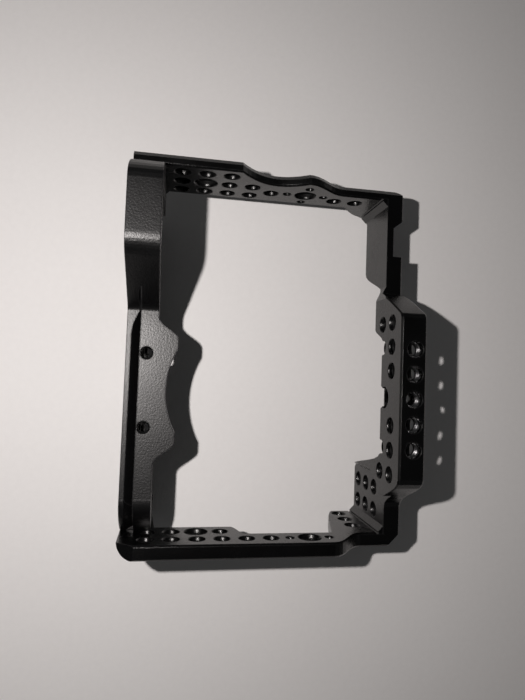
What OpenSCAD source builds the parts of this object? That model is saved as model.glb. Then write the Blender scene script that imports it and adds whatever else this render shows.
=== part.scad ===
// Camera cage for a mirrorless camera, lying on its back.
// X runs from the grip wall to the port wall, Y from the base to the top strip,
// and Z from the back of the cage to its front.

/* [Whole cage] */
// Outside width across both side walls
cage_width = 138; // [137:0.5:140]
// Outside height from the bottom of the base to the top
cage_height = 104; // [103.5:0.5:106]
// Distance between neighbouring tapped holes
hole_pitch = 8.8; // [8.7:0.05:8.9]
// Lens axis from the outside of the grip wall, as a share of the width
lens_share = 0.592; // [0.59:0.001:0.594]
// Height of the lens axis above the bottom
lens_h = 45.2; // [45:0.1:45.4]
// Bevel on the outer edges, and on the inner edges
bevels = [1.7, 0.6]; // [0.4:0.1:1.9]
// How much deeper the bevels are round the top corners
corner_step = 0.1; // [0.05:0.05:0.2]

/* [Grip wall] */
// Thickness of the wall beside the hand
grip_wall_t = 4.2; // [4:0.1:4.6]
// Front edge of both side walls
wall_front = 44; // [43.7:0.1:44.4]
// Lowest point of the finger cut-out
wave_low = 34.1; // [33.6:0.1:34.6]
// Crest in the finger cut-out
wave_crest = 38.9; // [38.4:0.1:39.4]
// Start, dip, crest and end of the finger cut-out, as shares of the height
wave_shares = [0.362, 0.502, 0.611, 0.762]; // [0.35:0.002:0.78]
// Back edge of the wall
grip_wall_back = 16.3; // [16:0.1:16.6]
// Back edge of the foot that the joint screws pass
grip_foot_back = 13; // [12.6:0.1:13.4]
// Start and end of the rounded rear lobe, as shares of the height
lobe_shares = [0.806, 0.93]; // [0.8:0.002:0.94]

/* [Port wall] */
// Thickness of the wall beside the sockets
port_wall_t = 5.2; // [5:0.1:5.4]
// Back edges of the foot, the wide part and the narrow part
port_backs = [5, 22.2, 31.3]; // [4.6:0.1:31.6]
// Height of both feet above the bottom, and width of the slope above them
foot_size = [10.8, 1.2]; // [1:0.1:11]
// Rear step to the narrow part, as shares of the height
port_step_shares = [0.388, 0.43]; // [0.38:0.002:0.44]
// Front slope to the shoulder, as shares of the height
port_slope_shares = [0.724, 0.85]; // [0.72:0.002:0.86]
// Rear tab: its edge, and where its slanted side ends, as shares of the height
tab_shares = [0.748, 0.836]; // [0.74:0.002:0.85]
// Bend of the rear tab's slanted side
tab_power = 1.4; // [1.2:0.1:1.6]
// Radius of the lower outer corner
port_corner_r = 5.4; // [5.2:0.1:5.6]
// Height and drop of the bevel on the lower front corner
corner_bevel = [6, 4.2]; // [4:0.1:6.2]

/* [Top strip] */
// Thickness of the shoulders
shoulder_t = 6.6; // [6.4:0.1:6.8]
// Thickness of the bridge over the lens
bridge_t = 9.6; // [9.4:0.1:9.8]
// Front face of the bridge
bridge_front = 52.2; // [51.8:0.1:52.4]
// Front edges of the grip shoulder and the port shoulder
shoulder_fronts = [30, 33]; // [29.6:0.1:33.4]
// Back edge of the grip shoulder at the corner, and at its far end
grip_backs = [5.2, 7.2]; // [5:0.1:7.4]
// Where the back edge rises between these two, as shares of the width
rise_shares = [0.04, 0.058]; // [0.038:0.001:0.06]
// Back edge of the bridge behind its middle, and beside the grip shoulder
bridge_backs = [34.2, 27]; // [26.8:0.1:34.4]
// Front slopes at the grip side and the port side, as shares of the width
front_shares = [0.3, 0.372, 0.794, 0.892]; // [0.29:0.001:0.9]
// Bend of the front slope at the grip side
front_power = 0.8; // [0.75:0.05:1]
// Length and height of the rounding where this slope meets the front face
front_round = [2, 1.1]; // [1:0.1:2.2]
// Rear slopes beside the grip shoulder, as shares of the width
rear_shares = [0.214, 0.302, 0.402, 0.437]; // [0.2:0.001:0.45]
// Rear slope at the port side, as shares of the width
rear_end_shares = [0.744, 0.824]; // [0.74:0.001:0.83]
// Ramps at both ends of the thick part of the bridge, as shares of the width
thick_shares = [0.28, 0.322, 0.799, 0.814]; // [0.275:0.001:0.82]
// Far end of the thick part in front of the port shoulder, as a share of the width
step_share = 0.852; // [0.85:0.001:0.854]
// Depth from which the thick part reaches this far end
step_z = 26.2; // [26:0.1:26.4]
// Depth of the recess in the grip shoulder's outer face
recess_depth = 4; // [3.8:0.1:4.2]
// Recess: slanted end, floor start and floor end, as shares of the width
recess_shares = [0.087, 0.11, 0.192]; // [0.08:0.001:0.2]
// Chamfer of the outer corner at the port side
port_chamfer = 4.9; // [4.7:0.1:5]
// Radius of the outer corner at the grip side
grip_corner_r = 3.5; // [3.3:0.1:3.7]
// Leg of the fillets inside the top corners
inner_fillet = 2.4; // [2.2:0.1:2.6]
// Radius of the relief grooves beside these fillets
relief_r = 0.55; // [0.5:0.05:0.6]

/* [Base plate] */
// Height of the seat that the camera stands on
seat_h = 6; // [5.8:0.1:6.2]
// Height of the front lip
lip_h = 10.8; // [10.6:0.1:11]
// Front face of the lip, and width of the dovetail foot
lip_front = 38; // [37.9:0.05:38.1]
// Thickness of the lip
lip_t = 5; // [4.8:0.1:5.2]
// Front face of the shelf under the hand grip
shelf_front = 63.2; // [62.8:0.1:63.6]
// Front of the shelf where it starts at the grip wall
shelf_start = 45.6; // [45.2:0.1:46]
// Shelf: rounded start, rounded edge, slope start and the foot of the slope, as shares of the width
shelf_shares = [0.117, 0.236, 0.285, 0.376, 0.395]; // [0.115:0.001:0.4]
// Drop of the shelf's rounded edge, and height of the curve at the slope's foot
shelf_drops = [3.7, 2]; // [1.8:0.1:3.8]
// Sideways shift of the shelf's inner face against its outer face
shelf_shift = 2.4; // [2.2:0.1:2.6]
// Height of the two ears beside the lens opening
ear_h = 17.9; // [17.7:0.1:18.1]
// Half width of the ears at the foot and at the top of their curved flanks
ear_half = [25.4, 18]; // [17.8:0.1:25.6]
// Radius of the round lens opening
lens_r = 31; // [30.8:0.1:31.2]
// Thickness of the dovetail's edge, and height of its waist
dovetail = [1.6, 4.7]; // [1.5:0.1:4.8]
// Radius of the cutter that leaves the groove's curved end
cutter_r = 16.4; // [16:0.1:16.8]
// Where the front groove's straight part starts, as a share of the width
groove_share = 0.456; // [0.45:0.001:0.46]
// Drop of the lip's front towards the port wall
end_drop = 13; // [12.8:0.1:13.4]
// Start and end of that drop, as shares of the width
end_shares = [0.862, 0.93]; // [0.85:0.001:0.935]
// Length of the blocks that the joint screws hold
block_len = [9, 8]; // [7.5:0.1:9.4]
// Battery opening: near and far edge across the cage, as shares of the width
battery_shares = [0.109, 0.283]; // [0.105:0.001:0.286]
// Battery opening: rear and front edge
battery_z = [9, 46]; // [8.5:0.5:46.5]
// Corner radius of the battery opening
battery_r = 3; // [2.5:0.1:3.5]
// Distance between the two holes in the lip
lip_hole_gap = 25.8; // [25.6:0.1:26]
// Height of the lip's holes above the bottom
lip_hole_y = 7.1; // [7:0.05:7.2]
// Radius of the lip's holes
lip_hole_r = 1.95; // [1.9:0.05:2]

/* [Tapped holes] */
// Radius of the small accessory holes
small_r = 2.75; // [2.6:0.05:2.9]
// Radius of the large accessory holes
large_r = 4.05; // [4:0.05:4.2]
// Radius of the locating holes around a large hole
locate_r = 1.45; // [1.4:0.05:1.5]
// Distance of the locating holes from a large hole
locate_off = 7.3; // [7.2:0.05:7.4]
// Depth of the countersink at each mouth
mouth = 0.4; // [0.3:0.05:0.5]
// First column of the grip wall and of the port wall, above the bottom
first_columns = [16.7, 18.3]; // [16.5:0.1:18.5]
// Lowest row of the grip wall, and front row of the port wall
side_rows = [21.1, 37.4]; // [21:0.05:37.5]
// Lower single hole of the grip wall: height and depth
grip_single = [51, 25.3]; // [25.1:0.1:51.2]
// Large hole of the grip wall: height and depth
grip_large = [64.6, 26.1]; // [26:0.1:64.8]
// Upper pair of holes in the grip wall: height of the first, and depth
grip_pair = [77.2, 22.9]; // [22.7:0.1:77.4]
// Distance from the last column of the port wall to its large hole
port_large_off = 14.2; // [14:0.1:14.4]
// Height of the holes in the rear tab
tab_column = 88.9; // [88.7:0.1:89.1]
// Rearmost row of the tab and of the port shoulder
rear_row = 4.8; // [4.7:0.05:4.9]
// First column of the port shoulder, from the outside of the port wall
shoulder_column = 20.1; // [20:0.1:20.3]
// Front row of the bridge
bridge_row = 43.9; // [43.8:0.1:44.1]
// Distance of the first hole of the bridge from the lens axis
bridge_first = 9.9; // [9.8:0.1:10]
// Depth of the large hole at the bridge's back edge
bridge_large = 33.4; // [33.3:0.1:33.6]
// Depth of the five holes in the bridge's front face
front_hole_depth = 15.6; // [15.4:0.1:15.8]
// Distance of these holes from the outer face
front_hole_in = 4.4; // [4.3:0.05:4.5]
// Radius and depth place of the pin hole that runs from the outer face into the middle one
pin_hole = [1.25, 45.2]; // [1.2:0.05:45.4]

/* [Fasteners] */
// Shank radius and length of the joint screws
joint_shank = [1.5, 9]; // [1.4:0.05:9.2]
// Head radius and height of the joint screws
joint_head = [2.8, 1.8]; // [1.7:0.05:2.9]
// Depth of the heads below the wall's outer face
joint_sunk = 0.4; // [0.3:0.05:0.5]
// Width across the flats and depth of the hexagon sockets
hex_size = [2, 1]; // [0.9:0.05:2.1]
// Height of the joint screws above the bottom
joint_y = 7; // [6.8:0.1:7.1]
// Distance of the two screws of the grip joint, and of the port joint
joint_gaps = [17.6, 11]; // [10.8:0.1:17.8]
// Radius and length of the dowel pins
dowel = [1.25, 6]; // [1.2:0.05:6.2]
// Play between a screw and its hole
screw_play = 0.05; // [0.04:0.01:0.08]

/* [Camera screw] */
// Radius of the camera screw's thread
stud_r = 3.15; // [3.1:0.01:3.2]
// Length of the thread above the seat
stud_h = 5.5; // [5.2:0.1:5.8]
// Distance of the camera screw from the back
screw_z = 19; // [18.8:0.1:19.2]
// Radius of the camera screw's head
head_r = 7; // [6.8:0.1:7.1]
// Bottom and top of the head above the cage's bottom
head_span = [0.3, 2.5]; // [0.25:0.05:2.55]
// Radius and depth of the round recess around the head
recess_size = [10.3, 2.8]; // [2.7:0.05:10.5]
// Radius and bottom of the pocket for the retaining clip
clip_pocket = [5, 4.3]; // [4.2:0.05:5.1]
// Outer radius and thickness of the retaining clip
clip_size = [4.6, 0.6]; // [0.55:0.05:4.7]
// Radius of the screw inside the retaining clip
clip_neck_r = 2.3; // [2.2:0.05:2.4]
// Inner and outer radius of the folding ring
ring_size = [7.9, 9.5]; // [7.8:0.05:9.6]
// Thickness of the folding ring
ring_t = 1.2; // [1.1:0.05:1.25]
// Height of the ring's hinge above the bottom
ring_y = 1.2; // [1.15:0.01:1.25]
// Radius and length of the ring's two hinge pins
ring_pin = [0.6, 2.4]; // [0.55:0.01:2.5]
// Width and depth of the slot in the head
slot_size = [1.6, 0.5]; // [0.45:0.05:1.7]

/* [Seat pads] */
// Thickness of the soft pads
pad_t = 1; // [0.8:0.1:1.2]
// Near and far edge of a pad from the lens axis, as shares of the width
pad_shares = [0.094, 0.254]; // [0.09:0.001:0.258]
// Length of a pad from back to front
pad_depth = 20; // [19:0.5:21]

/* [Hidden] */
$fn = 48;
curve_steps = 8;
lens_axis = lens_share * cage_width;
battery_x = [for (share = battery_shares) share * cage_width];
pad_edges = [for (share = pad_shares) share * cage_width];
port_x = cage_width - port_wall_t;
bridge_y = cage_height - bridge_t;
shoulder_y = cage_height - shoulder_t;
// Both walls end inside the top strip
wall_top = shoulder_y + 2 * bevels[1];
over = bevels[1];
// Small shift that keeps the creases of the bevels beside those of the walls
crease_shift = bevels[1] / 20;
slope_h = dovetail[1] - dovetail[0];
// Width of the ring's ends, which keeps their corners inside its round outer edge
ring_arm = sqrt(ring_size[1] * ring_size[1] - ring_t * ring_t / 4) - ring_size[0];
columns = [for (i = [0 : 4]) i * hole_pitch];

// Curves from point p to point q, without p itself
function eased(p, q, power) = [for (i = [1 : curve_steps]) let (t = i / curve_steps)
    [p[0] + (q[0] - p[0]) * t, q[1] + (p[1] - q[1]) * pow(1 - t, power)]];
function swelling(p, q, power) = [for (i = [1 : curve_steps]) let (t = i / curve_steps)
    [p[0] + (q[0] - p[0]) * t, p[1] + (q[1] - p[1]) * pow(t, power)]];
function swayed(p, q) = [for (i = [1 : curve_steps]) let (t = i / curve_steps)
    [p[0] + (q[0] - p[0]) * t, p[1] + (q[1] - p[1]) * (1 - cos(180 * t)) / 2]];
function reversed(points) = [for (i = [len(points) - 1 : -1 : 0]) points[i]];

// Line with both ends drawn out, shifted sideways, and shown at half a right angle
function slanted(line, shift) = let (last = line[len(line) - 1])
    [for (p = concat([[line[0][0] - over, line[0][1]]], line, [[last[0] + over, last[1]]]))
        [p[0] + crease_shift, (p[1] + shift) * cos(45)]];

// Wall between a back line and a front line, with bevels along its outer and inner rims
module bevelled_wall(back, front, thick, outer, inner) {
    reach = 2 * bridge_front;
    intersection() {
        linear_extrude(thick) polygon(concat(back, reversed(front)));
        rotate([-45, 0, 0]) translate([0, 0, -reach]) linear_extrude(2 * reach) polygon(concat(
            slanted(back, inner - thick), reversed(slanted(front, -outer))));
        rotate([45, 0, 0]) translate([0, 0, -reach]) linear_extrude(2 * reach) polygon(concat(
            slanted(back, outer), reversed(slanted(front, thick - inner))));
    }
}

// What is drawn in (Y, Z) stands along +X
module along_x(x) translate([x, 0, 0]) rotate([90, 0, 90]) children();
// What is drawn in (X, Z) stands along +Y
module along_y(y, thick) translate([0, y + thick, 0]) rotate([90, 0, 0]) children();
// The whole cage is centred on the frame
module placed() translate([-cage_width / 2, -cage_height / 2, 0]) children();

// Hole with a countersink at each mouth, along +Z
module tapped(r, depth) {
    translate([0, 0, -over]) cylinder(r = r, h = depth + 2 * over);
    translate([0, 0, -over]) cylinder(r1 = r + mouth + over, r2 = r, h = mouth + over);
    translate([0, 0, depth - mouth]) cylinder(r1 = r, r2 = r + mouth + over, h = mouth + over);
}
// The same with one mouth, at its start
module blind_tapped(r, depth) {
    translate([0, 0, -over]) cylinder(r = r, h = depth + over);
    translate([0, 0, -over]) cylinder(r1 = r + mouth + over, r2 = r, h = mouth + over);
}
module tapped_x(x, y, z, r, depth) translate([x, y, z]) rotate([0, 90, 0]) tapped(r, depth);
module tapped_y(x, y, z, r, depth) translate([x, y, z]) rotate([-90, 0, 0]) tapped(r, depth);

// Front and back lines of the three walls
function grip_front() = let (
    h = cage_height,
    start = [wave_shares[0] * h, wall_front], dip = [wave_shares[1] * h, wave_low],
    crest = [wave_shares[2] * h, wave_crest], end = [wave_shares[3] * h, shoulder_fronts[0]])
    concat([[0, wall_front], start], eased(start, dip, 2), swelling(dip, crest, 2),
        swayed(crest, end), [[wall_top, shoulder_fronts[0]]]);

function grip_back() = let (
    h = cage_height,
    lobe = [lobe_shares[0] * h, grip_wall_back], tip = [lobe_shares[1] * h, grip_backs[0]])
    concat([[0, grip_foot_back], [foot_size[0], grip_foot_back],
        [foot_size[0] + foot_size[1], grip_wall_back], lobe],
        eased(lobe, tip, 2), [[wall_top, grip_backs[0]]]);

function port_front() = let (
    h = cage_height,
    start = [port_slope_shares[0] * h, wall_front],
    end = [port_slope_shares[1] * h, shoulder_fronts[1]])
    concat([[0, wall_front], start],
        swayed(start, end), [[wall_top, shoulder_fronts[1]]]);

function port_back() = let (
    h = cage_height,
    low = [port_step_shares[0] * h, port_backs[1]], high = [port_step_shares[1] * h, port_backs[2]],
    tab = [tab_shares[0] * h, port_backs[2]], tip = [tab_shares[1] * h, 0])
    concat([[0, port_backs[0]], [foot_size[0], port_backs[0]],
        [foot_size[0] + foot_size[1], port_backs[1]], low],
        swayed(low, high), [tab], eased(tab, tip, tab_power), [[wall_top, 0]]);

function top_front() = let (
    w = cage_width,
    a = [front_shares[0] * w, shoulder_fronts[0]],
    b = [front_shares[1] * w, bridge_front - front_round[1]],
    c = [front_shares[2] * w, bridge_front], d = [front_shares[3] * w, shoulder_fronts[1]])
    concat([[0, shoulder_fronts[0]], a], swelling(a, b, front_power),
        eased(b, [b[0] + front_round[0], bridge_front], 2), [c], swayed(c, d),
        [[w, shoulder_fronts[1]]]);

function top_back() = let (
    w = cage_width,
    a = [rear_shares[0] * w, grip_backs[1]], b = [rear_shares[1] * w, bridge_backs[1]],
    c = [rear_shares[2] * w, bridge_backs[1]], d = [rear_shares[3] * w, bridge_backs[0]],
    e = [rear_end_shares[0] * w, bridge_backs[0]], f = [rear_end_shares[1] * w, 0])
    concat([[0, grip_backs[0]], [rise_shares[0] * w, grip_backs[0]],
        [rise_shares[1] * w, grip_backs[1]], a], swayed(a, b), [c],
        swayed(c, d), [e], swayed(e, f), [[w, 0]]);

module grip_wall_holes() {
    rows = [for (i = [0 : 2]) side_rows[0] + i * hole_pitch];
    for (c = [0 : 3]) for (r = [0 : 2])
        if ((c < 3 || r < 2) && !(c == 1 && r == 1))
            tapped_x(0, first_columns[0] + columns[c], rows[r], small_r, grip_wall_t);
    tapped_x(0, first_columns[0] + columns[1], rows[1], large_r, grip_wall_t);
    tapped_x(0, grip_single[0], grip_single[1], small_r, grip_wall_t);
    tapped_x(0, grip_large[0], grip_large[1], large_r, grip_wall_t);
    for (turn = [0 : 90 : 270])
        tapped_x(0, grip_large[0] + locate_off * cos(turn), grip_large[1] + locate_off * sin(turn),
            locate_r, grip_wall_t);
    for (i = [0 : 1])
        tapped_x(0, grip_pair[0] + columns[i], grip_pair[1], small_r, grip_wall_t);
}

module port_wall_holes() {
    large_column = first_columns[1] + columns[4] + port_large_off;
    for (c = [-1 : 4])
        tapped_x(port_x, first_columns[1] + c * hole_pitch, side_rows[1], small_r, port_wall_t);
    for (c = [-1, 0, 2])
        tapped_x(port_x, first_columns[1] + c * hole_pitch, side_rows[1] - hole_pitch, small_r,
            port_wall_t);
    tapped_x(port_x, first_columns[1] + columns[1], side_rows[1] - hole_pitch, large_r, port_wall_t);
    tapped_x(port_x, large_column, side_rows[1], large_r, port_wall_t);
    for (side = [-1, 1])
        tapped_x(port_x, large_column + side * locate_off, side_rows[1], locate_r, port_wall_t);
    for (r = [0 : 2])
        tapped_x(port_x, tab_column, rear_row + columns[r], small_r, port_wall_t);
}

module top_strip_holes() {
    for (side = [-1, 1]) {
        for (i = [0 : 2])
            tapped_y(lens_axis + side * (bridge_first + columns[i]), bridge_y, bridge_row, small_r,
                bridge_t);
        for (i = [1 : 2])
            tapped_y(lens_axis + side * (bridge_first + columns[i]), bridge_y,
                bridge_row - hole_pitch, small_r, bridge_t);
    }
    tapped_y(lens_axis, bridge_y, bridge_large, large_r, bridge_t);
    for (c = [0 : 1]) for (r = [0 : 2])
        tapped_y(cage_width - shoulder_column + columns[c], shoulder_y, rear_row + columns[r],
            small_r, shoulder_t);
    for (i = [-2 : 2]) translate([lens_axis + i * hole_pitch, cage_height - front_hole_in, bridge_front])
        mirror([0, 0, 1]) blind_tapped(small_r, front_hole_depth);
    translate([lens_axis, cage_height + over, pin_hole[1]]) rotate([90, 0, 0])
        cylinder(r = pin_hole[0], h = front_hole_in + over);
}

// Notch in the outer face of the grip shoulder, with one slanted end
module shoulder_recess() {
    w = cage_width;
    floor_y = cage_height - recess_depth;
    lean = (recess_shares[1] - recess_shares[0]) * w / recess_depth;
    translate([0, 0, -over]) linear_extrude(shoulder_fronts[0] + 2 * over) polygon([
        [recess_shares[0] * w - lean * over, cage_height + over],
        [recess_shares[1] * w, floor_y], [recess_shares[2] * w, floor_y],
        [recess_shares[2] * w, cage_height + over]]);
}

// What the outer corners lose
module corner_cuts() {
    tall = bridge_front + over;
    translate([0, cage_height - grip_corner_r, 0]) difference() {
        translate([-over, 0, -over]) cube([grip_corner_r + over, grip_corner_r + over, tall]);
        translate([grip_corner_r, 0, -2 * over]) cylinder(r = grip_corner_r, h = tall + 2 * over);
    }
    translate([0, 0, -over]) linear_extrude(tall) polygon([
        [cage_width - port_chamfer, cage_height + over], [cage_width - port_chamfer, cage_height],
        [cage_width, cage_height - port_chamfer], [cage_width + over, cage_height - port_chamfer],
        [cage_width + over, cage_height + over]]);
    along_x(port_x - over) linear_extrude(port_wall_t + 2 * over) polygon([
        [-over, wall_front - corner_bevel[1]], [0, wall_front - corner_bevel[1]],
        [corner_bevel[0], wall_front], [corner_bevel[0], wall_front + over],
        [-over, wall_front + over]]);
    translate([cage_width - port_corner_r, 0, 0]) difference() {
        translate([0, -over, -over]) cube([port_corner_r + over, port_corner_r + over, tall]);
        translate([0, port_corner_r, -2 * over]) cylinder(r = port_corner_r, h = tall + 2 * over);
    }
}

// Fillets inside the two top corners, which end just inside the front and back edges
module inner_fillets() {
    for (side = [0, 1]) {
        x = side == 0 ? grip_wall_t : port_x;
        dir = side == 0 ? 1 : -1;
        back = (side == 0 ? grip_backs[0] : 0) + corner_step;
        front = shoulder_fronts[side] - corner_step;
        translate([0, 0, back]) linear_extrude(front - back) polygon([
            [x - dir * over, shoulder_y + over], [x - dir * over, shoulder_y - inner_fillet],
            [x, shoulder_y - inner_fillet], [x + dir * inner_fillet, shoulder_y],
            [x + dir * inner_fillet, shoulder_y + over]]);
    }
}

// Grooves that a fine cutter leaves between the fillets and the walls
module relief_grooves() for (side = [0, 1])
    translate([side == 0 ? grip_wall_t : port_x, shoulder_y - inner_fillet, -over])
        cylinder(r = relief_r, h = shoulder_fronts[1] + 2 * over);

// Places of the two screws and the dowel pin of each joint, from the back
function joint_z(side) = let (
    mid = (side == 0 ? grip_foot_back + lip_front : port_backs[0] + lip_front - end_drop) / 2)
    [mid - joint_gaps[side] / 2, mid + joint_gaps[side] / 2, mid];

module joint_holes(side) {
    x = side == 0 ? 0 : cage_width;
    turn = side == 0 ? 90 : -90;
    for (i = [0 : 1]) translate([x, joint_y, joint_z(side)[i]]) rotate([0, turn, 0]) {
        translate([0, 0, -over]) cylinder(r = joint_shank[0] + screw_play, h = port_wall_t + 2 * over);
        translate([0, 0, -over]) cylinder(r = joint_head[0] + screw_play,
            h = joint_sunk + joint_head[1] + over);
    }
}

module dowel_holes() {
    for (side = [0, 1]) translate([side == 0 ? grip_wall_t : port_x, joint_y, joint_z(side)[2]])
        rotate([0, 90, 0]) cylinder(r = dowel[0], h = dowel[1], center = true);
}

// Bevels that carry the walls' outer bevels round the top corners
module corner_bevels() for (side = [0, 1]) {
    by = (side == 0 ? bevels[0] : bevels[1]) + corner_step;
    front = shoulder_fronts[side];
    back = side == 0 ? grip_backs[0] : 0;
    translate([side == 0 ? 0 : cage_width, shoulder_y - over, 0]) mirror([side, 0, 0])
        along_y(0, shoulder_t + 2 * over) linear_extrude(shoulder_t + 2 * over) {
            polygon([[-over, front - by - over], [by + over, front + over], [-over, front + over]]);
            polygon([[-over, back - over], [by + over, back - over], [-over, back + by + over]]);
        }
}

// Where the top strip is thick, with a ramp at both ends and a step before the port shoulder
module thick_region() {
    ends = [for (share = thick_shares) share * cage_width];
    rise = bridge_t - shoulder_t;
    // Both ramps run on into the shoulders along their own slope
    slopes = [(ends[1] - ends[0]) / rise, (ends[3] - ends[2]) / rise];
    translate([0, bridge_y, -over]) linear_extrude(bridge_front + 2 * over) polygon([
        [ends[1], 0], [ends[0] - slopes[0] * over, rise + over], [ends[3] + slopes[1] * over, rise + over],
        [ends[2], 0]]);
    translate([(ends[1] + ends[2]) / 2, bridge_y, step_z])
        cube([step_share * cage_width - (ends[1] + ends[2]) / 2, rise + over, bridge_front]);
}

module upper_frame() color([0.07, 0.07, 0.075]) placed() difference() {
    union() {
        along_x(0) bevelled_wall(grip_back(), grip_front(), grip_wall_t, bevels[0], bevels[1]);
        along_x(port_x) bevelled_wall(port_back(), port_front(), port_wall_t, bevels[1], bevels[1]);
        along_y(shoulder_y, shoulder_t) bevelled_wall(top_back(), top_front(), shoulder_t,
            bevels[1], -over);
        intersection() {
            along_y(bridge_y, bridge_t) bevelled_wall(top_back(), top_front(), bridge_t,
                bevels[1], bevels[1]);
            thick_region();
        }
        inner_fillets();
    }
    corner_bevels();
    relief_grooves();
    grip_wall_holes();
    port_wall_holes();
    top_strip_holes();
    shoulder_recess();
    corner_cuts();
    joint_holes(0);
    joint_holes(1);
    dowel_holes();
}

// Front edge of the base plate, from the grip wall to the port wall
function base_front() = let (
    w = cage_width,
    a = [grip_wall_t, shelf_start], b = [shelf_shares[0] * w, shelf_front],
    c = [shelf_shares[1] * w, shelf_front], d = [shelf_shares[2] * w, shelf_front - shelf_drops[0]],
    e = [shelf_shares[3] * w, lip_front + shelf_drops[1]], foot = [shelf_shares[4] * w, lip_front],
    f = [end_shares[0] * w, lip_front], g = [end_shares[1] * w, lip_front - end_drop])
    concat([a], eased(a, b, 2), [c], swelling(c, d, 2.5), [e], eased(e, foot, 2), [f], swayed(f, g),
        [[port_x, lip_front - end_drop]]);

module base_region(back) polygon(concat([[port_x, back], [grip_wall_t, back]], base_front()));

// Seat of the base plate, whose rear corner stays clear of the hand
module base_floor() along_y(0, seat_h) linear_extrude(seat_h) difference() {
    base_region(0);
    translate([0, -over]) square([grip_wall_t + block_len[0], grip_foot_back + over]);
}

// Rim that follows the front edge, cut to the height of the lip and its ears
module base_lip() intersection() {
    along_y(0, ear_h) linear_extrude(ear_h) difference() {
        base_region(0);
        translate([-shelf_shift, -lip_t]) polygon(concat(
            [[port_x + lip_t, -over], [-lip_t, -over], [-lip_t, shelf_start]], base_front(),
            [[port_x + lip_t, lip_front - end_drop]]));
    }
    linear_extrude(shelf_front) difference() {
        feet = [for (side = [1, -1]) [lens_axis + side * ear_half[0], lip_h]];
        tops = [for (side = [1, -1]) [lens_axis + side * ear_half[1], ear_h]];
        polygon(concat([[grip_wall_t, 0], [port_x, 0], [port_x, lip_h], feet[0]],
            swayed(feet[0], tops[0]), [tops[1]], swayed(tops[1], feet[1]), [[grip_wall_t, lip_h]]));
        translate([lens_axis, lens_h]) circle(r = lens_r);
    }
}

// Blocks at both ends, which the joint screws hold
module end_blocks() {
    along_y(0, lip_h) linear_extrude(lip_h) intersection() {
        base_region(grip_foot_back);
        square([grip_wall_t + block_len[0], shelf_front]);
    }
    translate([port_x - block_len[1], 0, port_backs[0]])
        cube([block_len[1], lip_h, lip_front - end_drop - port_backs[0]]);
}

// Sloping grooves above the foot's front edge and back edge
module dovetail_grooves() {
    start = groove_share * cage_width;
    long = port_x - start + over;
    waist = dovetail[1];
    along_x(start) linear_extrude(long) polygon([[dovetail[0], lip_front], [waist, lip_front - slope_h],
        [waist, lip_front + over], [dovetail[0], lip_front + over]]);
    translate([start, dovetail[0], lip_front - slope_h + cutter_r]) rotate([-90, 0, 0])
        cylinder(r1 = cutter_r - slope_h, r2 = cutter_r, h = slope_h);
    translate([0, 0, lip_front]) mirror([0, 0, 1]) along_x(grip_wall_t + block_len[0])
        linear_extrude(port_x - grip_wall_t - block_len[0] + over) polygon([[dovetail[0], lip_front],
            [waist, lip_front - slope_h], [waist, lip_front + over], [dovetail[0], lip_front + over]]);
}

module battery_opening() along_y(-over, seat_h + 2 * over) linear_extrude(seat_h + 2 * over) {
    for (x = [battery_x[0] + battery_r, battery_x[1] - battery_r])
        for (z = [battery_z[0] + battery_r, battery_z[1] - battery_r])
            translate([x, z]) circle(r = battery_r);
    translate([battery_x[0] + battery_r, battery_z[0]])
        square([battery_x[1] - battery_x[0] - 2 * battery_r, battery_z[1] - battery_z[0]]);
    translate([battery_x[0], battery_z[0] + battery_r])
        square([battery_x[1] - battery_x[0], battery_z[1] - battery_z[0] - 2 * battery_r]);
}

// Recess, bore and clip pocket of the camera screw
module screw_seat() translate([lens_axis, 0, screw_z]) rotate([-90, 0, 0]) {
    translate([0, 0, -over]) cylinder(r = recess_size[0], h = recess_size[1] + over);
    cylinder(r = stud_r + screw_play, h = seat_h);
    translate([0, 0, clip_pocket[1]]) cylinder(r = clip_pocket[0], h = seat_h);
}

module lip_holes() for (side = [-1, 1])
    translate([lens_axis + side * lip_hole_gap / 2, lip_hole_y, lip_front - lip_t])
        tapped(lip_hole_r, lip_t);

module base_screw_holes(side) {
    deep = joint_sunk + joint_head[1] + joint_shank[1];
    x = side == 0 ? 0 : cage_width;
    for (i = [0 : 1]) translate([x, joint_y, joint_z(side)[i]]) rotate([0, side == 0 ? 90 : -90, 0])
        cylinder(r = joint_shank[0], h = deep);
}

module base_plate() color([0.1, 0.1, 0.105]) placed() difference() {
    union() {
        base_floor();
        base_lip();
        end_blocks();
    }
    dovetail_grooves();
    battery_opening();
    screw_seat();
    lip_holes();
    base_screw_holes(0);
    base_screw_holes(1);
    dowel_holes();
}

// Joint screw with its head's outer face at the start, along +Z
module joint_screw() difference() {
    union() {
        cylinder(r = joint_head[0], h = joint_head[1]);
        cylinder(r = joint_shank[0], h = joint_head[1] + joint_shank[1]);
    }
    translate([0, 0, -over]) cylinder(r = hex_size[0] / sqrt(3), h = hex_size[1] + over, $fn = 6);
}

module joint_pair(side) color([0.3, 0.3, 0.31]) placed() for (i = [0 : 1])
    translate([side == 0 ? joint_sunk : cage_width - joint_sunk, joint_y, joint_z(side)[i]])
        rotate([0, side == 0 ? 90 : -90, 0]) joint_screw();

module grip_joint_screws() joint_pair(0);
module port_joint_screws() joint_pair(1);

module dowel_pins() color([0.6, 0.6, 0.62]) placed() dowel_holes();

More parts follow.
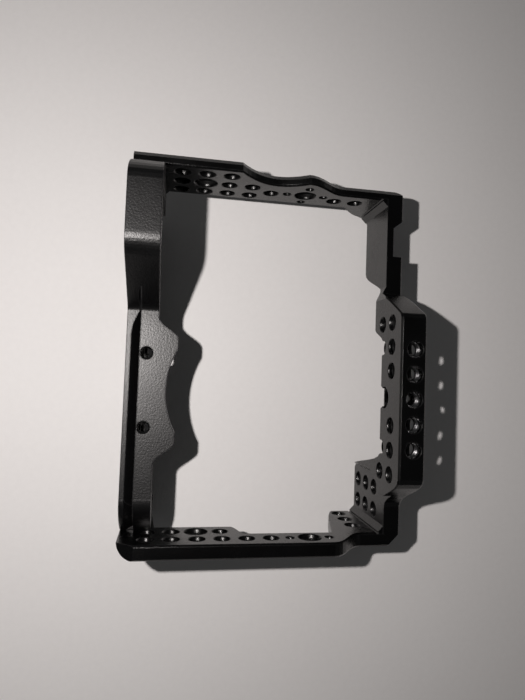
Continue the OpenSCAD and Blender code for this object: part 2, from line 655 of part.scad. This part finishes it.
module camera_screw() color([0.55, 0.55, 0.57]) placed() translate([lens_axis, 0, screw_z])
    rotate([-90, 0, 0]) difference() {
        union() {
            translate([0, 0, head_span[0]]) cylinder(r = head_r, h = head_span[1] - head_span[0]);
            translate([0, 0, head_span[0]]) cylinder(r = stud_r, h = seat_h + stud_h - head_span[0]);
        }
        translate([0, 0, clip_pocket[1]]) difference() {
            cylinder(r = stud_r + over, h = clip_size[1]);
            cylinder(r = clip_neck_r, h = clip_size[1]);
        }
        translate([-slot_size[0] / 2, -head_r, head_span[0] - over])
            cube([slot_size[0], 2 * head_r, slot_size[1] + over]);
        for (turn = [0, 180]) rotate([0, 0, turn]) translate([ring_size[0] - ring_pin[1], 0, ring_y])
            rotate([0, 90, 0]) cylinder(r = ring_pin[0] + screw_play, h = ring_pin[1]);
    }

module screw_clip() color([0.4, 0.4, 0.42]) placed()
    translate([lens_axis, clip_pocket[1], screw_z]) rotate([-90, 0, 0]) difference() {
        cylinder(r = clip_size[0], h = clip_size[1]);
        cylinder(r = clip_neck_r, h = clip_size[1]);
        translate([0, -clip_neck_r, 0]) cube([clip_size[0], 2 * clip_neck_r, clip_size[1]]);
    }

// Half ring whose two ends carry the hinge pins
module screw_ring() color([0.65, 0.65, 0.67]) placed() translate([lens_axis, ring_y, screw_z]) {
    rotate([90, 0, 0]) intersection() {
        difference() {
            cylinder(r = ring_size[1], h = ring_t, center = true);
            cylinder(r = ring_size[0], h = ring_t, center = true);
        }
        translate([-ring_size[1], 0, -ring_t]) cube([2 * ring_size[1], ring_size[1], 2 * ring_t]);
    }
    for (turn = [0, 180]) rotate([0, turn, 0]) {
        translate([ring_size[0], 0, 0]) rotate([0, 90, 0])
            cylinder(r = ring_t / 2, h = ring_arm);
        translate([ring_size[0] - ring_pin[1] + screw_play, 0, 0]) rotate([0, 90, 0])
            cylinder(r = ring_pin[0], h = ring_pin[1] + ring_arm / 2);
    }
}

module seat_pads() color([0.05, 0.05, 0.05]) placed() for (side = [-1, 1])
    translate([lens_axis + side * (pad_edges[0] + pad_edges[1]) / 2, seat_h + pad_t / 2, screw_z])
        cube([pad_edges[1] - pad_edges[0], pad_t, pad_depth], center = true);

upper_frame();
base_plate();
grip_joint_screws();
port_joint_screws();
dowel_pins();
camera_screw();
screw_clip();
screw_ring();
seat_pads();
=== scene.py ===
"""Camera cage lying on its back on a pale table, seen from above.

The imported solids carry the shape. This script gives them blasted, anodised
and turned surfaces, adds the threads, reworks the bridge, the step before the
port shoulder and the end of the lip, and sets the camera and the light.
"""

import math
from collections import namedtuple

import bmesh
import bpy
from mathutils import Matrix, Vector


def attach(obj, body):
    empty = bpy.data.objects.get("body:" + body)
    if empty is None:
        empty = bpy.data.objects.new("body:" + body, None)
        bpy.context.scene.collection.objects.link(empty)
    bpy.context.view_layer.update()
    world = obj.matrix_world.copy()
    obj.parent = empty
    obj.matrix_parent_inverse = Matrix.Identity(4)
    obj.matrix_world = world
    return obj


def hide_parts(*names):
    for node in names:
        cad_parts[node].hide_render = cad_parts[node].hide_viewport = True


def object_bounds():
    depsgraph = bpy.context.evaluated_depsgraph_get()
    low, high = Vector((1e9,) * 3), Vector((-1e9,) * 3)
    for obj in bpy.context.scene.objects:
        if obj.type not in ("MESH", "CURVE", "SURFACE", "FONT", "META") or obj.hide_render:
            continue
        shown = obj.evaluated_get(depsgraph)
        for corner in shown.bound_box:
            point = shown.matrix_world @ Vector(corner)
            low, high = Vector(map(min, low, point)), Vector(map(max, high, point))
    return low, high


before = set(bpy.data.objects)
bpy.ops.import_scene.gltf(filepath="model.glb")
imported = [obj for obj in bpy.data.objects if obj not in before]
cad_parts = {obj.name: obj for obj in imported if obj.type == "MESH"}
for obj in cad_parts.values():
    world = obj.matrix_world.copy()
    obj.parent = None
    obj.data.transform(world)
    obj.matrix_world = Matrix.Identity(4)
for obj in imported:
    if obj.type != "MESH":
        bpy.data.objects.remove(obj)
cad_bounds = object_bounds()

# Camera and lamp, in metres and degrees in the frame of the part
IMAGE_LONG_SIDE = 700
FOCAL_PIXELS = 532
SENSOR_MM = 36
CLIP_START = 0.01
CAMERA_PLACE = (0.00649, -0.03626, 0.22635)
CAMERA_TURN = (2.481, -9.754, 92.11)
LAMP_PLACE = (-0.01021, -0.08509, 0.22048)
LAMP_RADIUS = 0.0026
LAMP_POWER = 1.84
LAMP_COLOUR = (1.0, 0.95, 0.925)

# Room and table: linear colours, sizes in metres
# Height of the room's view (0 at the horizon, 1 overhead) and its grey there
ROOM_STOPS = ((0.0, 0.02), (0.22, 0.02), (0.42, 0.085), (0.68, 0.085), (0.86, 0.02))
BACKGROUND = (0.58, 0.575, 0.57)
TABLE_COLOUR = (0.80, 0.79, 0.785)
TABLE_ROUGH = 0.75
TABLE_HALF = 1.2
# Distance from the part over which the table fades to the background
TABLE_FADE = (0.34, 0.8)

# Surfaces: samples of the rounded edges, and cosines between which an edge turns from pale to
# whole; the pale edges are worn anodising and a painted edge highlight
EDGE_ROUND_SAMPLES = 4
WEAR_AND_HIGHLIGHT_COSINES = (0.86, 0.99)
# Anodising: darkest and palest share of the colour in its grain and its clouds
GRAIN_SHARES = (0.5, 1.6)
CLOUD_SHARES = (0.8, 1.15)
CLOUD_SCALE = 60.0
# Least and most roughness beside a finish's own
CLOUD_ROUGH = (-0.03, 0.04)
STREAK_ROUGH = (-0.1, 0.12)
SPOT_SHARE = 0.7

# The cage is measured in millimetres from its lower grip-side corner: x across
# from the grip side, y up from the base, z forward from the back
MM = 0.001
WIDTH, HEIGHT = (round((cad_bounds[1][i] - cad_bounds[0][i]) / MM, 1) for i in range(2))
LENS_AXIS = 81.696

# Tapped holes: radius of the bore and lead of the thread
SMALL = (2.75, 1.27)
LARGE = (4.05, 1.5875)
LIP_SIZE = (1.95, 0.7)
PITCH = 8.8
# Where the metal that they pass through begins and ends
GRIP_SPAN = (0.0, 4.2)
PORT_SPAN = (132.8, WIDTH)
SHOULDER_SPAN = (97.4, HEIGHT)
BRIDGE_SPAN = (94.4, HEIGHT)
BRIDGE_THREADS = (94.4, 100.0)
FACE_SPAN = (45.6, 52.2)
LIP_SPAN = (33.0, 38.0)
# Grip wall: columns and rows of the field, its first hole, its large and its
# missing one as column and row, then the holes outside it
GRIP_FIELD_COUNT = (4, 3)
GRIP_FIELD = (16.7, 21.1)
GRIP_FIELD_LARGE = (1, 1)
GRIP_FIELD_BARE = (3, 2)
GRIP_SINGLE = (51.0, 25.3)
GRIP_LARGE = (64.6, 26.1)
GRIP_PAIR = (77.2, 22.9)
# Port wall: column 0, depths of the front and the second row, the columns that
# have small holes in each, and the large holes
PORT_COLUMN = 18.3
PORT_ROWS = (37.4, 28.6)
PORT_FRONT = (-1, 0, 1, 2, 3, 4)
PORT_SECOND = (-1, 0, 2)
PORT_SECOND_LARGE = 1
PORT_LARGE_PAST = 14.2
# Tab and port shoulder: rows, depth of the rearmost one, and the first columns
REAR_ROWS = 3
REAR_ROW = 4.8
TAB_COLUMN = 88.9
SHOULDER_COLUMN = 20.1
# Bridge: first column beside the lens axis, depths of both rows and of the
# large hole, columns on each side, and the holes in its face with their drop
# below its top
BRIDGE_FIRST = 9.9
BRIDGE_ROWS = (43.9, 35.1)
BRIDGE_LARGE = 37.9
BRIDGE_COLUMNS = 3
FACE_COLUMNS = (-2, -1, 0, 1, 2)
FACE_DROP = 4.4
# Lip: distance of its holes from the lens axis, and their height
LIP_OFF = 12.9
LIP_ROW = 7.1

# Thread ridge: facets in a turn, height as a share of the lead, and its section
# along one lead, as shares of the lead and of the height
THREAD_FACETS = 30
THREAD_HEIGHT = 0.35
THREAD_PROFILE = ((0.0, 0.12), (0.24, 1.0), (0.46, 1.0), (0.7, 0.12), (1.0, 0.12))
# Turns over which it rises and fades, and how far it starts inside the metal
THREAD_FADE = 0.4
THREAD_SINK = 0.02
# Depth behind which the bridge has no threads, as its back is open there
BRIDGE_BACK = 34.25

# Cuts in the upper frame: facets, chamfer at the mouth, and overshoot
BORE_FACETS = 72
MOUTH = 0.45
OVER = 0.6
THROUGH = 1.0
# Pin hole in the bridge, and the relief in its top around the four nearest holes
PIN_ROW = 45.7
PIN_R = 1.6
PIN_DEPTH = 4.4
RELIEF_R = 3.1
RELIEF_DEPTH = 3.0
RELIEF_COLUMNS = 2
# Block cut away to set the step before the port shoulder further forward
STEP_X = (112.4, 126.0)
STEP_Y = (93.0, 97.4)
STEP_Z = (19.0, 32.6)

# Ledge at the back of the bridge: heights of its inner edge, slope and outer
# face, depths of its back, of its front, and least depth beside a hole
LEDGE_HEIGHTS = (96.2, 97.3, 103.97)
LEDGE_BACKS = (33.55, 31.0)
LEDGE_FRONT = 34.3
LEDGE_LEAST = 0.1
LEDGE_ENDS = (60.6, 102.6)
LEDGE_STEPS = 168
# Holes that hollow it: place across, depth and radius
LEDGE_HOLES = ((LENS_AXIS - BRIDGE_FIRST - PITCH, BRIDGE_ROWS[1], SMALL[0]),
               (LENS_AXIS, BRIDGE_LARGE, LARGE[0]),
               (LENS_AXIS + BRIDGE_FIRST + PITCH, BRIDGE_ROWS[1], SMALL[0]))

# Lip: depth of its front, height, and heights of the dovetail's groove
LIP_FRONT = 38.0
LIP_HEIGHT = 10.8
GROOVE = (1.6, 4.7)
# Its rolled end: start, the bend and the wall, how far the front falls between
# them, its lowest depth, and the gap that keeps it clear of the solid's faces
END_START = 118.96
END_ROLL = (119.6, 132.77)
END_DROP = 12.6
END_BASE = 24.0
END_STEPS = 16
END_GAP = 0.004

Hole = namedtuple("Hole", "axis u v radius lead span")


def in_frame(x, y, z):
    """Millimetres from the cage's corner to metres in the frame."""
    return ((x - WIDTH / 2) * MM, (y - HEIGHT / 2) * MM, z * MM)


def grey(level):
    return (level, level, level)


def scaled(colour, factor):
    return [channel * factor for channel in colour]


def new_object(name, data):
    """Object of a mesh, camera or lamp, put into the scene."""
    made = bpy.data.objects.new(name, data)
    bpy.context.scene.collection.objects.link(made)
    return made


def add_to_cage(name, mesh, material):
    mesh.materials.append(material)
    piece = new_object(name, mesh)
    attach(piece, "cage")


# Materials

def node_material(name):
    """An empty material with its node tree and principled shader."""
    material = bpy.data.materials.new(name)
    material.use_nodes = True
    tree = material.node_tree
    return material, tree, tree.nodes["Principled BSDF"]


def object_noise(tree, scale, detail, rough):
    """Noise over the object's own coordinates."""
    place = tree.nodes.new("ShaderNodeTexCoord")
    noise = tree.nodes.new("ShaderNodeTexNoise")
    noise.inputs["Scale"].default_value = scale
    noise.inputs["Detail"].default_value = detail
    noise.inputs["Roughness"].default_value = rough
    tree.links.new(place.outputs["Object"], noise.inputs["Vector"])
    return noise.outputs["Fac"]


def ramp(tree, source, low, high, low_at=0.3, high_at=0.7):
    """Colour ramp between two colours."""
    node = tree.nodes.new("ShaderNodeValToRGB")
    for element, at, value in zip(node.color_ramp.elements, (low_at, high_at), (low, high)):
        element.position = at
        element.color = (*value, 1.0)
    tree.links.new(source, node.inputs["Fac"])
    return node.outputs["Color"]


def mixed(tree, blend, factor, first, second):
    """Colour mix; factor is a number or a socket, second a colour or a socket."""
    node = tree.nodes.new("ShaderNodeMix")
    node.data_type = "RGBA"
    node.blend_type = blend
    if isinstance(factor, float):
        node.inputs["Factor"].default_value = factor
    else:
        tree.links.new(factor, node.inputs["Factor"])
    tree.links.new(first, node.inputs["A"])
    if isinstance(second, tuple):
        node.inputs["B"].default_value = (*second, 1.0)
    else:
        tree.links.new(second, node.inputs["B"])
    return node.outputs["Result"]


def bump(tree, shader, height, strength, distance):
    node = tree.nodes.new("ShaderNodeBump")
    node.inputs["Strength"].default_value = strength
    node.inputs["Distance"].default_value = distance
    tree.links.new(height, node.inputs["Height"])
    tree.links.new(node.outputs["Normal"], shader.inputs["Normal"])
    return node


def edge_wear_and_highlight(tree, radius):
    """Rounded normals, and a mask that is white along sharp edges, where they are paled by
    wear and by a painted highlight.
    """
    soft = tree.nodes.new("ShaderNodeBevel")
    soft.samples = EDGE_ROUND_SAMPLES
    soft.inputs["Radius"].default_value = radius
    geometry = tree.nodes.new("ShaderNodeNewGeometry")
    dot = tree.nodes.new("ShaderNodeVectorMath")
    dot.operation = "DOT_PRODUCT"
    tree.links.new(soft.outputs["Normal"], dot.inputs[0])
    tree.links.new(geometry.outputs["Normal"], dot.inputs[1])
    mask = ramp(tree, dot.outputs["Value"], grey(1.0), grey(0.0), *WEAR_AND_HIGHLIGHT_COSINES)
    return soft.outputs["Normal"], mask


def anodised(name, colour, worn_and_highlight, rough, gloss, grain_scale, grain_height, edge):
    """Blasted and black anodised aluminium: fine grain, soft clouds, and edges paled by wear
    and by a painted highlight.
    """
    material, tree, shader = node_material(name)
    grain = object_noise(tree, scale=grain_scale, detail=3.0, rough=0.65)
    cloud = object_noise(tree, scale=CLOUD_SCALE, detail=3.0, rough=0.5)
    shades = ramp(tree, grain, *(scaled(colour, share) for share in GRAIN_SHARES))
    clouds = ramp(tree, cloud, *(grey(share) for share in CLOUD_SHARES))
    dyed = mixed(tree, "MULTIPLY", 1.0, shades, clouds)
    # Sharp edges are mixed towards the worn colour: worn anodising and a painted edge
    # highlight
    normal, mask = edge_wear_and_highlight(tree, edge)
    wear_and_highlight_share = mixed(tree, "MULTIPLY", 1.0, mask, clouds)
    tree.links.new(mixed(tree, "MIX", wear_and_highlight_share, dyed, worn_and_highlight), shader.inputs["Base Color"])
    roughness = ramp(tree, cloud, *(grey(rough + change) for change in CLOUD_ROUGH))
    tree.links.new(roughness, shader.inputs["Roughness"])
    shader.inputs["IOR"].default_value = gloss
    relief = bump(tree, shader, grain, strength=1.0, distance=grain_height)
    tree.links.new(normal, relief.inputs["Normal"])
    return material


def turned_steel(name, colour, rough):
    """Turned steel: fine streaks and a few dull spots."""
    material, tree, shader = node_material(name)
    streaks = object_noise(tree, scale=900.0, detail=5.0, rough=0.7)
    spots = object_noise(tree, scale=160.0, detail=3.0, rough=0.5)
    shades = ramp(tree, spots, scaled(colour, SPOT_SHARE), colour)
    tree.links.new(shades, shader.inputs["Base Color"])
    roughness = ramp(tree, streaks, *(grey(rough + change) for change in STREAK_ROUGH))
    tree.links.new(roughness, shader.inputs["Roughness"])
    shader.inputs["Metallic"].default_value = 1.0
    bump(tree, shader, streaks, strength=0.2, distance=0.00003)
    return material


def soft_rubber(name):
    """Matte pad with a fine pressed grain."""
    material, tree, shader = node_material(name)
    grain = object_noise(tree, scale=1500.0, detail=4.0, rough=0.6)
    shades = ramp(tree, grain, grey(0.012), (0.03, 0.03, 0.031))
    tree.links.new(shades, shader.inputs["Base Color"])
    tree.links.new(ramp(tree, grain, grey(0.75), grey(0.92)), shader.inputs["Roughness"])
    bump(tree, shader, grain, strength=0.5, distance=0.00008)
    return material


def all_finishes():
    """The cage's finishes, bare metal for the threads in the bridge's face, and painted shade
    as a dark finish for the other threads.
    """
    return {
        # The worn colours pale the sharp edges: worn anodising and a painted edge highlight
        "black": anodised(
            "black_anodised", colour=(0.0008, 0.0008, 0.0009), worn_and_highlight=(0.012, 0.012, 0.013),
            rough=0.26, gloss=1.42, grain_scale=2300.0, grain_height=0.00006, edge=0.0003),
        "plate": anodised(
            "plate_anodised", colour=(0.0016, 0.0016, 0.0018), worn_and_highlight=(0.016, 0.016, 0.017),
            rough=0.37, gloss=1.46, grain_scale=1500.0, grain_height=0.00007, edge=0.0006),
        # Dark finish of the other threads: painted shade where their holes show no glint;
        # these threads are bare metal like the face's
        "tapped": anodised(
            "thread_painted_dark", colour=(0.0012, 0.0012, 0.0013), worn_and_highlight=(0.006, 0.006, 0.0065),
            rough=0.5, gloss=1.36, grain_scale=2300.0, grain_height=0.00004, edge=0.0001),
        "bare": turned_steel("bare_thread", colour=(0.2, 0.2, 0.206), rough=0.22),
        "dark_steel": turned_steel("black_steel", colour=(0.09, 0.09, 0.092), rough=0.4),
        "steel": turned_steel("bright_steel", colour=(0.55, 0.55, 0.56), rough=0.3),
        "rubber": soft_rubber("pad_rubber"),
    }


def cover_nodes(finish):
    """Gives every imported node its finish."""
    for node, name in (
            ("upper_frame", "black"), ("base_plate", "plate"),
            ("grip_joint_screws", "dark_steel"), ("port_joint_screws", "dark_steel"),
            ("dowel_pins", "steel"), ("camera_screw", "steel"), ("screw_clip", "dark_steel"),
            ("screw_ring", "steel"), ("seat_pads", "rubber")):
        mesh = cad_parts[node].data
        mesh.materials.clear()
        mesh.materials.append(finish[name])


# Tapped holes and their threads

def hole(axis, u, v, size, span):
    """A hole along an axis (0, 1 or 2); u and v are its other two coordinates."""
    return Hole(axis, u, v, *size, span)


def bridge_column(side, step):
    """Place across of a column of the bridge, counted from the lens axis."""
    return LENS_AXIS + side * (BRIDGE_FIRST + step * PITCH)


def grip_holes():
    found = []
    columns, rows = GRIP_FIELD_COUNT
    for column in range(columns):
        for row in range(rows):
            if (column, row) != GRIP_FIELD_BARE:
                size = LARGE if (column, row) == GRIP_FIELD_LARGE else SMALL
                found.append(hole(0, GRIP_FIELD[0] + column * PITCH,
                                  GRIP_FIELD[1] + row * PITCH, size, GRIP_SPAN))
    found.append(hole(0, *GRIP_SINGLE, SMALL, GRIP_SPAN))
    found.append(hole(0, *GRIP_LARGE, LARGE, GRIP_SPAN))
    for column in range(2):
        found.append(hole(0, GRIP_PAIR[0] + column * PITCH, GRIP_PAIR[1], SMALL, GRIP_SPAN))
    return found


def port_holes():
    """Holes of the port wall below its tab."""
    front, second = PORT_ROWS
    places = [(column, front, SMALL) for column in PORT_FRONT]
    places += [(column, second, SMALL) for column in PORT_SECOND]
    places.append((PORT_SECOND_LARGE, second, LARGE))
    found = [hole(0, PORT_COLUMN + column * PITCH, row, size, PORT_SPAN)
             for column, row, size in places]
    last = PORT_COLUMN + PORT_FRONT[-1] * PITCH
    found.append(hole(0, last + PORT_LARGE_PAST, front, LARGE, PORT_SPAN))
    return found


def tab_and_shoulder_holes():
    found = []
    for row in range(REAR_ROWS):
        depth = REAR_ROW + row * PITCH
        found.append(hole(0, TAB_COLUMN, depth, SMALL, PORT_SPAN))
        for column in range(2):
            found.append(hole(1, WIDTH - SHOULDER_COLUMN + column * PITCH, depth, SMALL,
                              SHOULDER_SPAN))
    return found


def bridge_holes():
    """Holes through the bridge from top to underside."""
    front, rear = BRIDGE_ROWS
    found = []
    for side in (-1, 1):
        for step in range(BRIDGE_COLUMNS):
            across = bridge_column(side, step)
            found.append(hole(1, across, front, SMALL, BRIDGE_THREADS))
            if step:
                found.append(hole(1, across, rear, SMALL, BRIDGE_THREADS))
    found.append(hole(1, LENS_AXIS, BRIDGE_LARGE, LARGE, BRIDGE_THREADS))
    return found


def face_holes():
    """The five holes in the face of the bridge."""
    return [hole(2, LENS_AXIS + column * PITCH, HEIGHT - FACE_DROP, SMALL, FACE_SPAN)
            for column in FACE_COLUMNS]


def lip_holes():
    return [hole(2, LENS_AXIS + side * LIP_OFF, LIP_ROW, LIP_SIZE, LIP_SPAN)
            for side in (-1, 1)]


def cage_point(item, u, v, depth):
    """Point of the cage from a hole's own coordinates."""
    return ((depth, u, v), (u, depth, v), (u, v, depth))[item.axis]


def inside(point, item):
    """Whether a point of the cage lies in a hole's empty space."""
    u, v = (point[i] for i in range(3) if i != item.axis)
    gap = math.hypot(u - item.u, v - item.v)
    return gap < item.radius - THREAD_SINK and item.span[0] < point[item.axis] < item.span[1]


def thread_rows(item):
    """Sections of one helical ridge, from one mouth of the hole to the other."""
    low, high = item.span[0] + MOUTH, item.span[1] - MOUTH
    steps = int(((high - low) / item.lead - 1) * THREAD_FACETS)
    height = THREAD_HEIGHT * item.lead
    fade = THREAD_FADE * THREAD_FACETS
    rows = []
    for step in range(steps + 1):
        angle = 2 * math.pi * step / THREAD_FACETS
        grown = min(1.0, step / fade, (steps - step) / fade)
        base = low + item.lead * step / THREAD_FACETS
        row = []
        for share, rise in THREAD_PROFILE:
            radius = item.radius + THREAD_SINK - rise * height * grown
            row.append(cage_point(item, item.u + radius * math.cos(angle),
                                  item.v + radius * math.sin(angle), base + share * item.lead))
        rows.append(row)
    return rows


def has_metal(item, corners, crossing):
    """Whether a face of a ridge has the wall of its hole behind it."""
    if item.span == BRIDGE_THREADS and min(corner[2] for corner in corners) < BRIDGE_BACK:
        return False
    middle = [sum(corner[i] for corner in corners) / 4 for i in range(3)]
    return not any(inside(middle, other) for other in crossing)


def add_threads(name, holes, crossing, material):
    """Ridges of several holes as one piece, left out where other holes cross them."""
    points, faces = [], []
    wide = len(THREAD_PROFILE)
    for item in holes:
        rows = thread_rows(item)
        start = len(points)
        for row in rows:
            points.extend(in_frame(*point) for point in row)
        for step, (row, ahead) in enumerate(zip(rows, rows[1:])):
            for part in range(wide - 1):
                corners = (row[part], row[part + 1], ahead[part + 1], ahead[part])
                if has_metal(item, corners, crossing):
                    first = start + wide * step + part
                    faces.append((first, first + 1, first + wide + 1, first + wide))
    mesh = bpy.data.meshes.new(name)
    mesh.from_pydata(points, [], faces)
    mesh.validate()
    add_to_cage(name, mesh, material)


# Reworked forms

def skin(name, outlines):
    """Closed mesh over outlines of one length, whose points are in millimetres."""
    points = [in_frame(*point) for outline in outlines for point in outline]
    count = len(outlines[0])
    faces = [(i * count + j, i * count + (j + 1) % count,
              (i + 1) * count + (j + 1) % count, (i + 1) * count + j)
             for i in range(len(outlines) - 1) for j in range(count)]
    faces.append(tuple(range(count)))
    faces.append(tuple(range(len(points) - 1, len(points) - 1 - count, -1)))
    mesh = bpy.data.meshes.new(name)
    mesh.from_pydata(points, [], faces)
    mesh.validate()
    solid = bmesh.new()
    solid.from_mesh(mesh)
    bmesh.ops.recalc_face_normals(solid, faces=solid.faces)
    solid.to_mesh(mesh)
    solid.free()
    return mesh


def bore(x, z, radius, span):
    """Outlines of a cylinder along Y, with a 45 degree cone at the outer face."""
    low, high = span
    stations = ((low, radius), (high - MOUTH, radius), (high + OVER, radius + MOUTH + OVER))
    angles = [2 * math.pi * i / BORE_FACETS for i in range(BORE_FACETS)]
    return [[(x + r * math.cos(a), y, z + r * math.sin(a)) for a in angles]
            for y, r in stations]


def step_block():
    """Outlines of the block that is cut from the step before the port shoulder."""
    (left, right), (low, high) = STEP_X, STEP_Y
    return [[(left, low, z), (right, low, z), (right, high, z), (left, high, z)]
            for z in STEP_Z]


def cut_frame(material):
    """Copy of the upper frame, bored and stepped as the photograph shows."""
    inner, outer = BRIDGE_SPAN
    cuts = [bore(LENS_AXIS, BRIDGE_LARGE, LARGE[0], (inner - THROUGH, outer)),
            bore(LENS_AXIS, PIN_ROW, PIN_R, (outer - PIN_DEPTH, outer))]
    for side in (-1, 1):
        for step in range(RELIEF_COLUMNS):
            cuts.append(bore(bridge_column(side, step), BRIDGE_ROWS[0], RELIEF_R,
                             (outer - RELIEF_DEPTH, outer)))
    cuts.append(step_block())
    piece = new_object("upper_frame_bored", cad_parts["upper_frame"].data.copy())
    tools = [new_object("cutter", skin("cutter", outlines)) for outlines in cuts]
    for tool in tools:
        cut = piece.modifiers.new("cut", "BOOLEAN")
        cut.operation = "DIFFERENCE"
        cut.solver = "EXACT"
        cut.object = tool
    bpy.context.view_layer.update()
    result = bpy.data.meshes.new_from_object(piece.evaluated_get(
        bpy.context.evaluated_depsgraph_get()))
    piece.modifiers.clear()
    piece.data = result
    for tool in tools:
        bpy.data.objects.remove(tool)
    result.materials.clear()
    result.materials.append(material)
    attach(piece, "cage")
    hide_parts("upper_frame")


def add_sweep(name, stations, section, material):
    """A solid swept along X; section(x) gives its outline as (y, z) points."""
    outlines = [[(x, y, z) for y, z in section(x)] for x in stations]
    add_to_cage(name, skin(name, outlines), material)


def evenly(start, end, steps):
    return [start + (end - start) * i / steps for i in range(steps + 1)]


def ledge_section(x):
    """Deeper outer half of the bridge's back, hollowed where the holes at its edge pass."""
    front = LEDGE_FRONT
    for hole_x, z, radius in LEDGE_HOLES:
        if abs(x - hole_x) < radius:
            front = min(front, z - math.sqrt(radius ** 2 - (x - hole_x) ** 2))
    inner, slope, outer = LEDGE_HEIGHTS
    inner_back, back = LEDGE_BACKS
    return ((inner, front), (slope, front), (outer, front), (outer, back),
            (slope, back), (inner, min(inner_back, front - LEDGE_LEAST)))


def lip_end_section(x):
    """Rolled end of the lip, with its foot and groove, over the plain ramp of the solid."""
    bend, wall = END_ROLL
    past = max(0.0, (x - bend) / (wall - bend))
    front = LIP_FRONT - END_DROP * past ** 2
    low, high = GROOVE
    top = LIP_HEIGHT - END_GAP
    return ((END_GAP, END_BASE), (END_GAP, front), (low, front), (high, front - (high - low)),
            (high, front), (top, front), (top, END_BASE))


def add_details(finish):
    """Threads, the lip's rolled end, the bridge's ledge, and the cut frame."""
    walls = grip_holes() + port_holes() + tab_and_shoulder_holes() + bridge_holes()
    faces = face_holes()
    pin = hole(1, LENS_AXIS, PIN_ROW, (PIN_R, None), BRIDGE_SPAN)
    upright = [item for item in walls if item.axis == 1] + [pin]
    # The wall threads get the dark finish, painted shade in their holes; the face threads get
    # bare metal
    add_threads("wall_threads", walls, faces, finish["tapped"])
    add_threads("face_threads", faces, upright, finish["bare"])
    add_threads("lip_threads", lip_holes(), [], finish["plate"])
    add_sweep("lip_end", evenly(END_START, END_ROLL[1], END_STEPS), lip_end_section,
              finish["plate"])
    add_sweep("bridge_rear_ledge", evenly(*LEDGE_ENDS, LEDGE_STEPS), ledge_section,
              finish["black"])
    cut_frame(finish["black"])


# Camera, light and table

def add_camera():
    data = bpy.data.cameras.new("photo_camera")
    data.sensor_fit = "AUTO"
    data.sensor_width = SENSOR_MM
    data.lens = FOCAL_PIXELS / IMAGE_LONG_SIDE * SENSOR_MM
    data.clip_start = CLIP_START
    camera = new_object("photo_camera", data)
    camera.location = CAMERA_PLACE
    camera.rotation_euler = [math.radians(angle) for angle in CAMERA_TURN]
    bpy.context.scene.camera = camera


def add_lamp():
    data = bpy.data.lights.new("lamp_by_camera", "POINT")
    data.shadow_soft_size = LAMP_RADIUS
    data.energy = LAMP_POWER
    data.color = LAMP_COLOUR
    new_object("lamp_by_camera", data).location = LAMP_PLACE


def add_world():
    """A dim room, palest halfway up, which the camera sees as a pale background."""
    world = bpy.data.worlds.new("dim_room")
    world.use_nodes = True
    tree = world.node_tree
    sky = tree.nodes["Background"]
    place = tree.nodes.new("ShaderNodeTexCoord")
    split = tree.nodes.new("ShaderNodeSeparateXYZ")
    tree.links.new(place.outputs["Generated"], split.inputs["Vector"])
    shade = tree.nodes.new("ShaderNodeValToRGB")
    stops = shade.color_ramp.elements
    while len(stops) < len(ROOM_STOPS):
        stops.new(1.0)
    for stop, (at, level) in zip(stops, ROOM_STOPS):
        stop.position = at
        stop.color = (*grey(level), 1.0)
    tree.links.new(split.outputs["Z"], shade.inputs["Fac"])
    path = tree.nodes.new("ShaderNodeLightPath")
    seen = mixed(tree, "MIX", path.outputs["Is Camera Ray"], shade.outputs["Color"],
                 BACKGROUND)
    tree.links.new(seen, sky.inputs["Color"])
    sky.inputs["Strength"].default_value = 1.0
    bpy.context.scene.world = world


def fade_far(tree, shader):
    """Fades the far table to the background, for the camera only."""
    place = tree.nodes.new("ShaderNodeTexCoord")
    reach = tree.nodes.new("ShaderNodeVectorMath")
    reach.operation = "LENGTH"
    tree.links.new(place.outputs["Object"], reach.inputs[0])
    far = tree.nodes.new("ShaderNodeMapRange")
    far.inputs["From Min"].default_value, far.inputs["From Max"].default_value = TABLE_FADE
    tree.links.new(reach.outputs["Value"], far.inputs["Value"])
    path = tree.nodes.new("ShaderNodeLightPath")
    fade = tree.nodes.new("ShaderNodeMath")
    fade.operation = "MULTIPLY"
    tree.links.new(far.outputs["Result"], fade.inputs[0])
    tree.links.new(path.outputs["Is Camera Ray"], fade.inputs[1])
    distance = tree.nodes.new("ShaderNodeEmission")
    distance.inputs["Color"].default_value = (*BACKGROUND, 1.0)
    blend = tree.nodes.new("ShaderNodeMixShader")
    tree.links.new(fade.outputs["Value"], blend.inputs["Fac"])
    tree.links.new(shader.outputs["BSDF"], blend.inputs[1])
    tree.links.new(distance.outputs["Emission"], blend.inputs[2])
    tree.links.new(blend.outputs["Shader"], tree.nodes["Material Output"].inputs["Surface"])


def add_floor():
    """Pale painted table top."""
    mesh = bpy.data.meshes.new("table_top")
    half = TABLE_HALF
    corners = [(-half, -half, 0), (half, -half, 0), (half, half, 0), (-half, half, 0)]
    mesh.from_pydata(corners, [], [(0, 1, 2, 3)])
    table = new_object("table_top", mesh)
    material, tree, shader = node_material("table_paint")
    shader.inputs["Roughness"].default_value = TABLE_ROUGH
    grain = object_noise(tree, scale=400.0, detail=3.0, rough=0.6)
    cloud = object_noise(tree, scale=9.0, detail=2.0, rough=0.5)
    shades = ramp(tree, grain, scaled(TABLE_COLOUR, 0.985), scaled(TABLE_COLOUR, 1.01))
    clouds = ramp(tree, cloud, (0.98, 0.975, 0.975), grey(1.0))
    tree.links.new(mixed(tree, "MULTIPLY", 1.0, shades, clouds), shader.inputs["Base Color"])
    fade_far(tree, shader)
    mesh.materials.append(material)


bpy.context.scene.view_settings.view_transform = "Standard"
add_camera()
add_world()
add_lamp()
add_floor()
finishes = all_finishes()
cover_nodes(finishes)
add_details(finishes)
